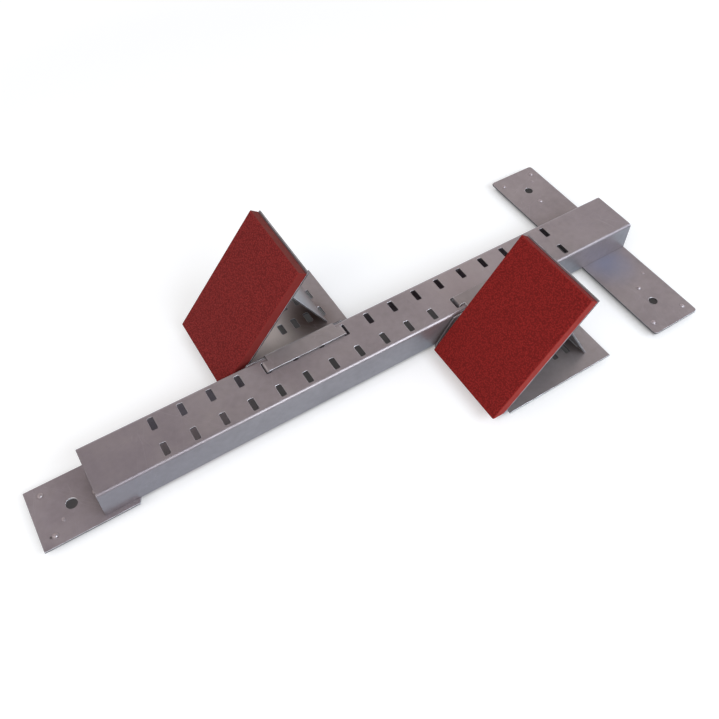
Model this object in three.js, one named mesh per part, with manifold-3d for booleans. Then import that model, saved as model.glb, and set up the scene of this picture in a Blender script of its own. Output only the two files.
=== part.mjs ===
// Starting blocks for sprinters: a folded steel rail with two rows of slots, a spiked plate under
// each end, and two foot blocks that hook into the rail. Each block is a folded carrier, a rubber
// faced pad hinged along the carrier's front edge, and a strut that sets the slope of the pad.
//
// Lengths are millimetres and angles are degrees. X runs along the rail from the runner's hands
// to the cross plate, Y across it towards the block of the right foot, and Z up from the spike
// tips. The origin is in the middle of the footprint, at the height of the spike tips.

import * as THREE from 'three';
import { mergeVertices } from 'three/addons/utils/BufferGeometryUtils.js';
import Module from 'manifold-3d';

const wasm = await Module();
wasm.setup();

// Driving dimensions

// Rail: one steel sheet folded to a channel, open below and at both ends
const railLength = 860;
const railWidth = 75;
const railHeight = 49;
const railSheet = 2.5;
const railBendRadius = 2;

// Slots in the top of the rail, in two rows
const slotPitch = 40;
const slotLength = 19;
const slotWidth = 8;
const slotCorner = 1.5;
const slotRowOffset = 20.5;
const frontSlotSetback = 93.5;
const rearSlotSetback = 126;

// Plates under the two ends of the rail
const plateThickness = 3;
const frontPlateWidth = 88;
const frontPlateReach = 77;
const frontPlateLap = 47;
const frontPlateChamfer = 5;
const crossPlateSpan = 383;
const crossPlateDepth = 86.5;
const crossPlateCorner = 4.5;
const frontNailHole = 14.5;
const wingNailHole = 13;
const nailHoleSetback = 47.5;

// Riveted spikes, three round each nail hole
const spikeSpacing = 30;
const spikeReach = 10;
const spikeShankRadius = 2.5;
const spikeHeadRadius = 4.2;
const spikeHeadHeight = 1.2;
const spikeCollarRadius = 4.5;
const spikeCollarHeight = 1.5;
const spikeConeRadius = 3.2;
const spikeTipRadius = 0.8;

// Weld beads inside the channel
const weldLeg = 4;
const weldEndSetback = 6;

// Sheet of the two blocks, and the gaps of their fits
const blockSheet = 2.5;
const blockBendRadius = 3;
const runningGap = 0.3;
const looseGap = 0.6;

// Carrier: base plate, wall beside the rail, and strip over it; the hooks span whole slot pitches
const hookSpan = 3;
const baseSideMargin = 1;
const baseRearMargin = 26.3;
const wallFootReach = 47.5;
const wallSlope = 60;
const stripEndSetback = 7.5;
const hookDepth = 12;
const hookSideGap = 1.25;
const hookBendRadius = 1;

// Slots in the base plate for the foot of the strut, in pairs
const footSlotPairs = 4;
const footSlotPitch = 21.5;
const footSlotLength = 18;
const footSlotWidth = 8;
const footSlotCorner = 1.5;
const footSlotFirst = 64.7;
const footSlotSpread = 37.7;

// Pad: steel backing with a rubber face
const padSlope = 52;
const padWallGap = 6.7;
const padWidth = 135;
const padToeReach = 56;
const padToeHeight = 9.7;
const rubberLength = 207;
const rubberThickness = 15;
const rubberEdgeRadius = 2;
const backingMargin = 2.5;

// Hinge along the front edge of the base plate
const pinRadius = 3;
const pinHeadLip = 1.6;
const pinHeadHeight = 1.4;
const knuckles = 5;
const curlGap = 1.8;
const hingeEndSetback = 4;

// Strut and its bracket on the back of the pad, whose pin is at a share of the pad's length
const strutWidth = 84;
const strutOffset = 5.9;
const strutPivotShare = 0.7086;
const strutFootInset = 2.3;
const strutTabReach = 3.2;
const strutTabSideGap = 1;
const bracketLength = 30;
const bracketBendRadius = 1;
const earMargin = 6;

// Where the blocks stand: the slot of the front hook, counted from the front slot for the right
// block and from the last slot for the left one, and how far it is pushed back in its slot
const rightHookSlot = 4;
const rightHookShift = -1;
const leftHookSlotFromLast = 5;
const leftHookShift = 2;

// Fineness of the round forms
const bendSteps = 5;
const curlSteps = 18;
const roundSteps = 20;
const spikeSteps = 12;
const cornerSteps = 2;

// Sizes that follow from the driving dimensions

// Cutters run past the faces that they cut, and joined sheets into each other, by this much
const overrun = 2 * blockSheet;

const overallLength = frontPlateReach + railLength;
const railFront = frontPlateReach - overallLength / 2;
const railRear = overallLength / 2;
const groundLevel = spikeReach;
const railTop = plateThickness + railHeight;
const slotPairs = 1 + Math.floor((railLength - frontSlotSetback - rearSlotSetback) / slotPitch);
const slotPlace = (index) => railFront + frontSlotSetback + index * slotPitch;

const slope = THREE.MathUtils.degToRad(padSlope);
const knuckleBore = pinRadius + runningGap;
const knuckleRadius = knuckleBore + blockSheet;
const padFaceHeight = knuckleRadius + runningGap + rubberThickness;
const toeBelowHinge = (padToeHeight - knuckleRadius - padFaceHeight * Math.cos(slope)) / Math.sin(slope);
const hingePlace = toeBelowHinge * -Math.cos(slope) + padFaceHeight * Math.sin(slope) - padToeReach;
const padTop = toeBelowHinge + rubberLength;
const strutPivotAlongPad = strutPivotShare * padTop;

// Places across the rail, measured outwards from its middle
const wallInside = railWidth / 2 + looseGap;
const wallMiddle = wallInside + blockSheet / 2;
const padInnerEdge = wallInside + blockSheet + padWallGap;
const padOuterEdge = padInnerEdge + padWidth;
const baseOuterEdge = padOuterEdge + baseSideMargin;
const strutCentre = padInnerEdge + padWidth / 2 + strutOffset;

// The strut turns about a pin that clears the base of its bracket, and its foot rests on the base
// plate at the front of the last pair of slots
const footSlotLast = footSlotFirst + (footSlotPairs - 1) * footSlotPitch;
const bracketFace = knuckleRadius - blockSheet - runningGap;
const pivotHeight = bracketFace - blockSheet - looseGap - knuckleRadius;
const pivotX = hingePlace + strutPivotAlongPad * Math.cos(slope) - pivotHeight * Math.sin(slope);
const pivotZ = knuckleRadius + strutPivotAlongPad * Math.sin(slope) + pivotHeight * Math.cos(slope);
const footX = footSlotLast - strutFootInset;
const footLean = Math.atan2(footX - pivotX, pivotZ - blockSheet);
const footZ = blockSheet + runningGap + (blockSheet / 2) * Math.sin(footLean);
const sheetOffset = knuckleRadius - blockSheet / 2;
const strutReach = Math.sqrt((footX - pivotX) ** 2 + (footZ - pivotZ) ** 2 - sheetOffset ** 2);
const strutHeading = Math.atan2(footZ - pivotZ, footX - pivotX) - Math.atan2(sheetOffset, strutReach);

// Solids and booleans

function solid(geometry) {
  const bare = geometry.clone();
  bare.deleteAttribute('normal');
  bare.deleteAttribute('uv');
  const merged = mergeVertices(bare);
  const vertProperties = Float32Array.from(merged.attributes.position.array);
  const triVerts = Uint32Array.from(merged.index.array);
  return new wasm.Manifold(new wasm.Mesh({ numProp: 3, vertProperties, triVerts }));
}

function join(...bodies) {
  return bodies.map(solidOnce).reduce((whole, next) => whole.add(next));
}

function cut(body, ...cutters) {
  return cutters.map(solidOnce).reduce((whole, next) => whole.subtract(next), solidOnce(body));
}

function overlapOf(first, second) {
  return solidOnce(first).intersect(solidOnce(second));
}

function solidOnce(body) {
  return body.isBufferGeometry ? solid(body) : body;
}

function geometryOf(body) {
  const mesh = body.getMesh();
  const geometry = new THREE.BufferGeometry();
  geometry.setAttribute('position', new THREE.BufferAttribute(mesh.vertProperties, mesh.numProp));
  geometry.setIndex(new THREE.BufferAttribute(mesh.triVerts, 1));
  return geometry;
}

// Extrusions

// An outline drawn in X and Y, standing from one height to another
function extrudeUp(outline, fromZ, toZ) {
  const body = new THREE.ExtrudeGeometry(outline, { depth: toZ - fromZ, bevelEnabled: false });
  return body.translate(0, 0, fromZ);
}

// An outline drawn in X and Z, running across the rail
function extrudeAcross(outline, fromY, toY) {
  const body = new THREE.ExtrudeGeometry(outline, { depth: toY - fromY, bevelEnabled: false });
  return body.rotateX(Math.PI / 2).translate(0, toY, 0);
}

// An outline drawn in Y and Z, running along the rail
function extrudeAlong(outline, fromX, toX) {
  const body = new THREE.ExtrudeGeometry(outline, { depth: toX - fromX, bevelEnabled: false });
  const turn = new THREE.Matrix4().makeBasis(
    new THREE.Vector3(0, 1, 0),
    new THREE.Vector3(0, 0, 1),
    new THREE.Vector3(1, 0, 0),
  );
  return body.applyMatrix4(turn).translate(fromX, 0, 0);
}

// A closed outline through corners given as pairs
function polygon(corners) {
  return new THREE.Shape(corners.map(([x, y]) => new THREE.Vector2(x, y)));
}

function rectangle(fromX, toX, fromY, toY) {
  return polygon([[fromX, fromY], [toX, fromY], [toX, toY], [fromX, toY]]);
}

// A rectangle whose corners are rounded
function roundedRectangle(fromX, toX, fromY, toY, radius) {
  const points = [];
  const centres = [
    [toX - radius, toY - radius],
    [fromX + radius, toY - radius],
    [fromX + radius, fromY + radius],
    [toX - radius, fromY + radius],
  ];
  centres.forEach(([x, y], corner) => {
    for (let step = 0; step <= cornerSteps; step++) {
      const angle = (Math.PI / 2) * (corner + step / cornerSteps);
      points.push([x + radius * Math.cos(angle), y + radius * Math.sin(angle)]);
    }
  });
  return polygon(points);
}

function disc(x, y, radius) {
  const points = [];
  for (let step = 0; step < roundSteps; step++) {
    const angle = (2 * Math.PI * step) / roundSteps;
    points.push([x + radius * Math.cos(angle), y + radius * Math.sin(angle)]);
  }
  return polygon(points);
}

// Folded sheet

// The outline of a sheet whose middle line passes the stations, each a point and a direction
function sheetOutline(stations, thickness) {
  const side = (station, offset) => {
    const normal = new THREE.Vector2(-station.along.y, station.along.x);
    return station.at.clone().addScaledVector(normal, offset);
  };
  const left = stations.map((station) => side(station, thickness / 2));
  const right = stations.map((station) => side(station, -thickness / 2));
  return new THREE.Shape([...right, ...left.reverse()]);
}

// A bend of the middle line: it starts at a point, heads along a direction and turns by an angle
function bendStations(start, along, radius, turn, steps) {
  const toCentre = new THREE.Vector2(-along.y, along.x).multiplyScalar(radius * Math.sign(turn));
  const centre = start.clone().add(toCentre);
  const stations = [];
  for (let step = 0; step <= steps; step++) {
    const angle = (turn * step) / steps;
    stations.push({
      at: start.clone().rotateAround(centre, angle),
      along: along.clone().rotateAround(new THREE.Vector2(), angle),
    });
  }
  return stations;
}

// A sheet folded at the corners of its middle line, with one inside radius
function foldedSheet(corners, thickness, insideRadius) {
  const points = corners.map(([x, y]) => new THREE.Vector2(x, y));
  const heading = (from, to) => to.clone().sub(from).normalize();
  const radius = insideRadius + thickness / 2;
  const last = points.length - 1;
  const stations = [{ at: points[0], along: heading(points[0], points[1]) }];
  for (let i = 1; i < last; i++) {
    const before = heading(points[i - 1], points[i]);
    const after = heading(points[i], points[i + 1]);
    const turn = Math.atan2(before.cross(after), before.dot(after));
    const start = points[i].clone().addScaledVector(before, -radius * Math.tan(Math.abs(turn) / 2));
    stations.push(...bendStations(start, before, radius, turn, bendSteps));
  }
  stations.push({ at: points[last], along: heading(points[last - 1], points[last]) });
  return sheetOutline(stations, thickness);
}

// A sheet that runs forward to a hinge pin and curls round it until its end nears the sheet; the
// sheet passes the pin above when turn is 1 and below when turn is -1
function curledSheet(leadLength, turn) {
  const middle = knuckleBore + blockSheet / 2;
  const along = new THREE.Vector2(-1, 0);
  const start = new THREE.Vector2(0, middle * turn);
  const sweep = 2 * Math.PI - Math.acos((knuckleBore - curlGap) / knuckleRadius);
  const lead = { at: start.clone().addScaledVector(along, -leadLength), along };
  const curl = bendStations(start, along, middle, sweep * turn, curlSteps);
  return sheetOutline([lead, ...curl], blockSheet);
}

// Rail and plates

function makeRail() {
  const side = railWidth / 2 - railSheet / 2;
  const top = railTop - railSheet / 2;
  const section = foldedSheet(
    [[side, plateThickness], [side, top], [-side, top], [-side, plateThickness]],
    railSheet,
    railBendRadius,
  );
  const slots = [];
  for (let index = 0; index < slotPairs; index++) {
    for (const row of [-slotRowOffset, slotRowOffset]) {
      slots.push(slotCutter(slotPlace(index), row, slotWidth, slotLength, slotCorner, railTop, railSheet));
    }
  }
  return cut(extrudeAlong(section, railFront, railRear), ...slots);
}

// A slot through a level sheet, long across the rail
function slotCutter(x, y, width, length, corner, sheetTop, sheet) {
  const outline = roundedRectangle(x - width / 2, x + width / 2, y - length / 2, y + length / 2, corner);
  return extrudeUp(outline, sheetTop - sheet - overrun, sheetTop + overrun);
}

// Places of the three spikes round a nail hole: one towards the rail and two away from it
function spikePlaces(holeX, holeY, towardsX, towardsY) {
  const place = (towards, aside) => [
    holeX + towards * towardsX - aside * towardsY,
    holeY + towards * towardsY + aside * towardsX,
  ];
  return [
    place(spikeSpacing, 0),
    place(-spikeSpacing, spikeSpacing),
    place(-spikeSpacing, -spikeSpacing),
  ];
}

const frontEdge = -overallLength / 2;
const crossPlateMiddle = railRear - crossPlateDepth / 2;
const wingHole = crossPlateSpan / 2 - nailHoleSetback;
const frontSpikes = spikePlaces(frontEdge + nailHoleSetback, 0, 1, 0);
const rightSpikes = spikePlaces(crossPlateMiddle, wingHole, 0, -1);
const leftSpikes = spikePlaces(crossPlateMiddle, -wingHole, 0, 1);

function drillPlate(plate, nailHoles, nailHole, spikes) {
  const holes = [
    ...nailHoles.map(([x, y]) => disc(x, y, nailHole / 2)),
    ...spikes.map(([x, y]) => disc(x, y, spikeShankRadius + runningGap)),
  ];
  return cut(plate, ...holes.map((hole) => extrudeUp(hole, -overrun, plateThickness + overrun)));
}

function makeFrontPlate() {
  const rear = railFront + frontPlateLap;
  const side = frontPlateWidth / 2;
  const outline = polygon([
    [frontEdge, -side],
    [rear - frontPlateChamfer, -side],
    [rear, 2 * frontPlateChamfer - side],
    [rear, side - 2 * frontPlateChamfer],
    [rear - frontPlateChamfer, side],
    [frontEdge, side],
  ]);
  const plate = extrudeUp(outline, 0, plateThickness);
  return drillPlate(plate, [[frontEdge + nailHoleSetback, 0]], frontNailHole, frontSpikes);
}

function makeCrossPlate() {
  const side = crossPlateSpan / 2;
  const front = railRear - crossPlateDepth;
  const plate = extrudeUp(
    roundedRectangle(front, railRear, -side, side, crossPlateCorner),
    0,
    plateThickness,
  );
  const holes = [[crossPlateMiddle, wingHole], [crossPlateMiddle, -wingHole]];
  return drillPlate(plate, holes, wingNailHole, [...rightSpikes, ...leftSpikes]);
}

// A spike is riveted through the plate: a low head above, a collar and a cone below
function makeSpike() {
  const headTop = plateThickness + spikeHeadHeight;
  const profile = [
    [0, -spikeReach],
    [spikeTipRadius, -spikeReach],
    [spikeConeRadius, -spikeCollarHeight],
    [spikeCollarRadius, -spikeCollarHeight],
    [spikeCollarRadius, 0],
    [spikeShankRadius, 0],
    [spikeShankRadius, plateThickness],
    [spikeHeadRadius, plateThickness],
    [spikeHeadRadius, plateThickness + spikeHeadHeight / 2],
    [spikeHeadRadius - spikeHeadHeight / 2, headTop],
    [0, headTop],
  ];
  const points = profile.map(([r, z]) => new THREE.Vector2(r, z));
  return solid(new THREE.LatheGeometry(points, spikeSteps).rotateX(Math.PI / 2));
}

// A fillet weld in the corner between a wall of the channel and a plate
function makeWeld(side, fromX, toX) {
  const wall = railWidth / 2 - railSheet;
  const corners = [[wall, 0], [wall, weldLeg], [wall - weldLeg / 2, weldLeg / 2], [wall - weldLeg, 0]];
  const section = polygon(corners.map(([y, z]) => [side * y, plateThickness + z]));
  return solid(extrudeAlong(section, fromX, toX));
}

// Blocks, drawn for the right foot: X from the middle of the front hook, Z from the ground

const hookMiddle = [0, hookSpan * slotPitch];
const stripUnder = railTop + runningGap;
const stripMiddle = stripUnder + blockSheet / 2;
const hookInnerEdge = slotRowOffset - slotLength / 2 + hookSideGap;
const hookOuterEdge = slotRowOffset + slotLength / 2 - hookSideGap;
const knuckleStart = padInnerEdge + hingeEndSetback;
const knuckleLength = (padWidth - 2 * hingeEndSetback - (knuckles - 1) * looseGap) / knuckles;

// Runs of every second knuckle, from the first or the second one
function knuckleRuns(first) {
  const runs = [];
  for (let index = first; index < knuckles; index += 2) {
    const start = knuckleStart + index * (knuckleLength + looseGap);
    runs.push([start, start + knuckleLength]);
  }
  return runs;
}

function makeCarrier() {
  const front = -wallFootReach;
  const rear = footSlotLast + baseRearMargin;
  const [firstHook, lastHook] = hookMiddle;
  const section = foldedSheet(
    [
      [baseOuterEdge, blockSheet / 2],
      [wallMiddle, blockSheet / 2],
      [wallMiddle, stripMiddle],
      [hookInnerEdge, stripMiddle],
    ],
    blockSheet,
    blockBendRadius,
  );
  const folded = extrudeAlong(section, front, rear);

  // The wall leans back from the front and the rear corners, clear of the base plate
  const lean = (stripMiddle + overrun) / Math.tan(THREE.MathUtils.degToRad(wallSlope));
  const high = stripMiddle + overrun;
  const frontSlant = polygon([[front - overrun, blockSheet], [front, blockSheet],
    [front + lean, high], [front - overrun, high]]);
  const rearSlant = polygon([[rear + overrun, blockSheet], [rear, blockSheet],
    [rear - lean, high], [rear + overrun, high]]);
  const wallTop = stripUnder - blockBendRadius;
  const stripFront = firstHook + stripEndSetback;
  const stripRear = lastHook - stripEndSetback;
  const wallOuter = wallMiddle + blockSheet + blockBendRadius;
  const trims = [
    extrudeAcross(frontSlant, wallInside - overrun, wallOuter),
    extrudeAcross(rearSlant, wallInside - overrun, wallOuter),
    extrudeAcross(rectangle(front - overrun, stripFront, wallTop, high), 0, wallOuter),
    extrudeAcross(rectangle(stripRear, rear + overrun, wallTop, high), 0, wallOuter),
  ];

  // In front of the hinge only a tongue stays, under the wall
  const hingeClear = hingePlace + knuckleRadius + looseGap;
  trims.push(extrudeUp(
    rectangle(front - overrun, hingeClear, padInnerEdge - runningGap, baseOuterEdge + overrun),
    -overrun,
    blockSheet + overrun,
  ));

  for (let pair = 0; pair < footSlotPairs; pair++) {
    for (const side of [-1, 1]) {
      const x = footSlotFirst + pair * footSlotPitch;
      const y = strutCentre + (side * footSlotSpread) / 2;
      trims.push(slotCutter(x, y, footSlotWidth, footSlotLength, footSlotCorner, blockSheet, blockSheet));
    }
  }

  const additions = hookMiddle.map((middle, index) => {
    const inward = index === 0 ? stripEndSetback : -stripEndSetback;
    const outline = foldedSheet(
      [[middle + 2 * inward, stripMiddle], [middle, stripMiddle], [middle, railTop - hookDepth]],
      blockSheet,
      hookBendRadius,
    );
    return extrudeAcross(outline, hookInnerEdge, hookOuterEdge);
  });

  // The base plate curls up round the hinge pin
  const curl = curledSheet(knuckleRadius + overrun, -1);
  for (const [start, end] of knuckleRuns(0)) {
    additions.push(extrudeAcross(curl, start, end).translate(hingePlace, 0, knuckleRadius));
  }
  return join(cut(folded, ...trims), ...additions);
}

// A round pin with a head at each end, along Y between two faces
function makePin(fromY, toY) {
  const profile = [
    [0, fromY - runningGap - pinHeadHeight],
    [pinRadius + pinHeadLip, fromY - runningGap - pinHeadHeight],
    [pinRadius + pinHeadLip, fromY - runningGap],
    [pinRadius, fromY - runningGap],
    [pinRadius, toY + runningGap],
    [pinRadius + pinHeadLip, toY + runningGap],
    [pinRadius + pinHeadLip, toY + runningGap + pinHeadHeight],
    [0, toY + runningGap + pinHeadHeight],
  ];
  const points = profile.map(([r, y]) => new THREE.Vector2(r, y));
  return solid(new THREE.LatheGeometry(points, roundSteps));
}

function makeHingePin() {
  const end = knuckleStart + knuckles * knuckleLength + (knuckles - 1) * looseGap;
  return makePin(knuckleStart, end);
}

function makeStrutPin() {
  const earOutside = earMiddle + blockSheet / 2;
  return makePin(strutCentre - earOutside, strutCentre + earOutside);
}

// Pad, drawn flat from its hinge: X up the slope, Z out of the rubber face

function makeBacking() {
  const clear = knuckleRadius + looseGap;
  const lowerEdge = Math.sqrt(clear ** 2 - knuckleBore ** 2);
  const plate = extrudeAcross(
    rectangle(lowerEdge, padTop + backingMargin, knuckleBore, knuckleRadius),
    padInnerEdge,
    padOuterEdge,
  );
  const curl = curledSheet(lowerEdge + overrun, 1);
  const curls = knuckleRuns(1).map(([start, end]) => extrudeAcross(curl, start, end));
  return join(plate, ...curls);
}

// The rubber is cut level at the toe, rounded along its free edges and relieved over the hinge
function makeRubber() {
  const under = knuckleRadius + runningGap;
  const face = padFaceHeight;
  const toeSlant = rubberThickness / Math.tan(slope);
  const round = rubberEdgeRadius;
  const arc = (x, z, fromAngle, toAngle) => {
    const points = [];
    for (let step = 0; step <= bendSteps; step++) {
      const angle = fromAngle + ((toAngle - fromAngle) * step) / bendSteps;
      points.push([x + round * Math.cos(angle), z + round * Math.sin(angle)]);
    }
    return points;
  };
  const side = polygon([
    [toeBelowHinge + toeSlant, under],
    [padTop, under],
    ...arc(padTop - round, face - round, 0, Math.PI / 2),
    [toeBelowHinge, face],
  ]);
  const cross = polygon([
    [padInnerEdge, under],
    [padOuterEdge, under],
    ...arc(padOuterEdge - round, face - round, 0, Math.PI / 2),
    ...arc(padInnerEdge + round, face - round, Math.PI / 2, Math.PI),
  ]);
  const slab = overlapOf(
    extrudeAcross(side, padInnerEdge - overrun, padOuterEdge + overrun),
    extrudeAlong(cross, toeBelowHinge - overrun, padTop + overrun),
  );
  const relief = extrudeAcross(disc(0, 0, knuckleRadius + looseGap), 0, padOuterEdge + overrun);
  return cut(slab, relief);
}

// The bracket is a shallow U whose ears carry the pin of the strut
const earRadius = pinRadius + earMargin;
const earMiddle = strutWidth / 2 + looseGap + blockSheet / 2;

function makeBracket() {
  const base = bracketFace - blockSheet / 2;
  const earTip = pivotHeight - earRadius - overrun;
  const section = foldedSheet(
    [
      [strutCentre - earMiddle, earTip],
      [strutCentre - earMiddle, base],
      [strutCentre + earMiddle, base],
      [strutCentre + earMiddle, earTip],
    ],
    blockSheet,
    bracketBendRadius,
  );
  const inner = strutCentre - earMiddle - overrun;
  const outer = strutCentre + earMiddle + overrun;
  const folded = overlapOf(
    extrudeAlong(section, -bracketLength / 2, bracketLength / 2),
    extrudeAcross(earOutline(), inner, outer),
  );
  const bore = disc(0, pivotHeight, knuckleBore);
  return cut(folded, extrudeAcross(bore, inner, outer)).translate([strutPivotAlongPad, 0, 0]);
}

// Side view of an ear: straight flanks run from the base of the bracket to the round end
function earOutline() {
  const half = bracketLength / 2;
  const flankTop = bracketFace - blockSheet - pivotHeight;
  const tangent = Math.atan2(flankTop, half) - Math.acos(earRadius / Math.hypot(half, flankTop));
  const points = [[half, bracketFace], [half, bracketFace - blockSheet]];
  for (let step = 0; step <= 2 * bendSteps; step++) {
    const angle = tangent + ((-Math.PI - 2 * tangent) * step) / (2 * bendSteps);
    points.push([earRadius * Math.cos(angle), pivotHeight + earRadius * Math.sin(angle)]);
  }
  points.push([-half, bracketFace - blockSheet], [-half, bracketFace]);
  return polygon(points.reverse());
}

// Strut, drawn from its pin: X towards the foot, with the sheet above the pin
function makeStrut() {
  const near = strutCentre - strutWidth / 2;
  const far = strutCentre + strutWidth / 2;
  const plate = extrudeAcross(rectangle(0, strutReach, knuckleBore, knuckleRadius), near, far);
  const curl = extrudeAcross(curledSheet(overrun, 1), near, far);
  const tabs = [-1, 1].map((side) => {
    const middle = strutCentre + (side * footSlotSpread) / 2;
    const half = footSlotLength / 2 - strutTabSideGap;
    const outline = rectangle(strutReach - overrun, strutReach + strutTabReach, knuckleBore, knuckleRadius);
    return extrudeAcross(outline, middle - half, middle + half);
  });
  return join(plate, curl, ...tabs);
}

// Materials

const galvanised = () => new THREE.MeshStandardMaterial({
  color: 0x8a8488,
  roughness: 0.45,
  metalness: 0.85,
});
const zincPlated = () => new THREE.MeshStandardMaterial({
  color: 0xa9abb0,
  roughness: 0.35,
  metalness: 0.9,
});
const redRubber = () => new THREE.MeshStandardMaterial({
  color: 0x7a2022,
  roughness: 0.9,
  metalness: 0,
});

function named(name, body, material) {
  const geometry = geometryOf(body);
  geometry.computeVertexNormals();
  const mesh = new THREE.Mesh(geometry, material);
  mesh.name = name;
  return mesh;
}

// Assembly

const startingBlocks = new THREE.Group();

const ground = new THREE.Group();
ground.position.z = groundLevel;
startingBlocks.add(ground);

ground.add(
  named('rail', makeRail(), galvanised()),
  named('front_plate', makeFrontPlate(), galvanised()),
  named('cross_plate', makeCrossPlate(), galvanised()),
);

const spikeGroups = { front: frontSpikes, rear_right: rightSpikes, rear_left: leftSpikes };
for (const [group, places] of Object.entries(spikeGroups)) {
  places.forEach(([x, y], index) => {
    const spike = named(`${group}_spike_${index + 1}`, makeSpike(), zincPlated());
    spike.position.set(x, y, 0);
    ground.add(spike);
  });
}

const weldRuns = {
  front: [railFront + weldEndSetback, railFront + frontPlateLap - weldEndSetback],
  rear: [railRear - crossPlateDepth + weldEndSetback, railRear - weldEndSetback],
};
for (const [end, [fromX, toX]] of Object.entries(weldRuns)) {
  ground.add(
    named(`${end}_right_weld`, makeWeld(1, fromX, toX), galvanised()),
    named(`${end}_left_weld`, makeWeld(-1, fromX, toX), galvanised()),
  );
}

// A block of its own for each foot; the left one is the mirror image across the rail
function makeBlock(side, hookX) {
  const block = new THREE.Group();
  block.position.x = hookX;

  const hinge = new THREE.Group();
  hinge.position.set(hingePlace, 0, knuckleRadius);
  block.add(named(`${side}_carrier`, makeCarrier(), galvanised()), hinge);

  const pad = new THREE.Group();
  pad.rotation.y = -slope;
  hinge.add(named(`${side}_hinge_pin`, makeHingePin(), zincPlated()), pad);

  const pivot = new THREE.Group();
  pivot.position.set(strutPivotAlongPad, 0, pivotHeight);
  pad.add(
    named(`${side}_pad_backing`, makeBacking(), galvanised()),
    named(`${side}_rubber_pad`, makeRubber(), redRubber()),
    named(`${side}_strut_bracket`, makeBracket(), galvanised()),
    pivot,
  );

  const strut = named(`${side}_strut`, makeStrut(), galvanised());
  strut.rotation.y = slope - strutHeading;
  pivot.add(named(`${side}_strut_pin`, makeStrutPin(), zincPlated()), strut);
  return block;
}

const leftHookSlot = slotPairs - 1 - leftHookSlotFromLast;
const rightBlock = makeBlock('right', slotPlace(rightHookSlot) + rightHookShift);
const leftBlock = makeBlock('left', slotPlace(leftHookSlot) + leftHookShift);
leftBlock.scale.y = -1;
ground.add(rightBlock, leftBlock);

export default startingBlocks;
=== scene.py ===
# %% [markdown]
# # Starting blocks
#
# A sprinter's starting blocks: a folded steel rail with two rows of slots, a spiked plate
# under each end, and two foot blocks with red rubber faces that hook into the slots.
#
# The imported model already holds every piece in its right place and size. What it lacks is
# what light finds on the real object: edges that are rounded a little, rivets with domed
# heads, beads of weld, mottled zinc and pebbled rubber. This notebook adds those.
#
# The imported pieces are kept, hidden, where a finer copy stands for them, and their boxes
# place the new pieces and the masks.

import math

import bmesh
import bpy
from mathutils import Matrix, Vector
from mathutils.bvhtree import BVHTree


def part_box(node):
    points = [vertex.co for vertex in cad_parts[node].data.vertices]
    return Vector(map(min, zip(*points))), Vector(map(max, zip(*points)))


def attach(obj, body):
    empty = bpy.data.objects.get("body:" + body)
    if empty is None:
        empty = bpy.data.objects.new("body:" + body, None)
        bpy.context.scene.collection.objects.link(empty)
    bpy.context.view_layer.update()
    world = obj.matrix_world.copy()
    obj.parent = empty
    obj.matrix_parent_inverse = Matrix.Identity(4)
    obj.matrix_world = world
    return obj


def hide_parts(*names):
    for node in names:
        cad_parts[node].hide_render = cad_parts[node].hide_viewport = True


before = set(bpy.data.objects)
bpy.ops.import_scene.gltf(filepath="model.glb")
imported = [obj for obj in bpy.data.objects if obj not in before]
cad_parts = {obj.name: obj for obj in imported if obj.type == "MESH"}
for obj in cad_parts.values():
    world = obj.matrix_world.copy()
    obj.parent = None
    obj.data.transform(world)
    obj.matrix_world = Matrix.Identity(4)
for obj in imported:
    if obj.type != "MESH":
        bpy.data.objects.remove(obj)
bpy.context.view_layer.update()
print("packed nodes:", len(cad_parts))

# %% [markdown]
# ## Camera
#
# The camera's place can be found by eye or by a fit. Here it comes from a fit to the
# slots, whose even spacing makes the rail a ruler. The fit gives the focal length in
# pixels of a square picture of 719 pixels, the point that the camera looks at in that
# picture, and the directions of the camera's right side, top and back.
#
# The picture was widened to a square after it was taken, so its middle isn't where the
# lens pointed. The small shift below stands for that.

# %% Place the camera
picture_width = 719
focal_length = 798.285
lens_centre = (362.844, 278.721)
camera_place = (-0.362068, -0.559079, 0.929962)
camera_right = Vector((0.846111, -0.532927, 0.009242))
camera_top = Vector((0.393920, 0.636907, 0.662704))
camera_back = Vector((-0.359059, -0.557081, 0.748824))

camera_data = bpy.data.cameras.new("camera")
camera_data.sensor_width = 36
camera_data.lens = focal_length / picture_width * camera_data.sensor_width
camera_data.shift_x = 0.5 - lens_centre[0] / picture_width
camera_data.shift_y = lens_centre[1] / picture_width - 0.5
camera_data.clip_start = 0.01

camera = bpy.data.objects.new("camera", camera_data)
camera_turn = Matrix((camera_right, camera_top, camera_back)).transposed().to_4x4()
camera.matrix_world = Matrix.Translation(camera_place) @ camera_turn
bpy.context.scene.collection.objects.link(camera)
bpy.context.scene.camera = camera
print("lens", round(camera_data.lens, 2), "mm")

# %% [markdown]
# ## Working with shader nodes
#
# Every finish below is a tree of shader nodes, and a few helpers keep the cells short. One
# adds a node with its settings and inputs, where an input is either a number or the output
# of another node. Two more start a material's tree and end it with its shader.

# %% Helpers for shader nodes
def add_node(tree, kind, inputs=None, **settings):
    """A node. Its settings come first, because they decide which inputs it has."""
    made = tree.nodes.new(kind)
    for name, value in settings.items():
        setattr(made, name, value)
    for name, value in (inputs or {}).items():
        if isinstance(value, bpy.types.NodeSocket):
            tree.links.new(value, made.inputs[name])
        else:
            made.inputs[name].default_value = value
    return made


def new_material(name):
    """A material with an empty tree, and that tree."""
    material = bpy.data.materials.new(name)
    material.use_nodes = True
    material.node_tree.nodes.clear()
    return material, material.node_tree


def give_surface(tree, inputs):
    """Ends a material's tree with the shader that draws its surface."""
    shader = add_node(tree, "ShaderNodeBsdfPrincipled", inputs)
    add_node(tree, "ShaderNodeOutputMaterial", {"Surface": shader.outputs["BSDF"]})


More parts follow.
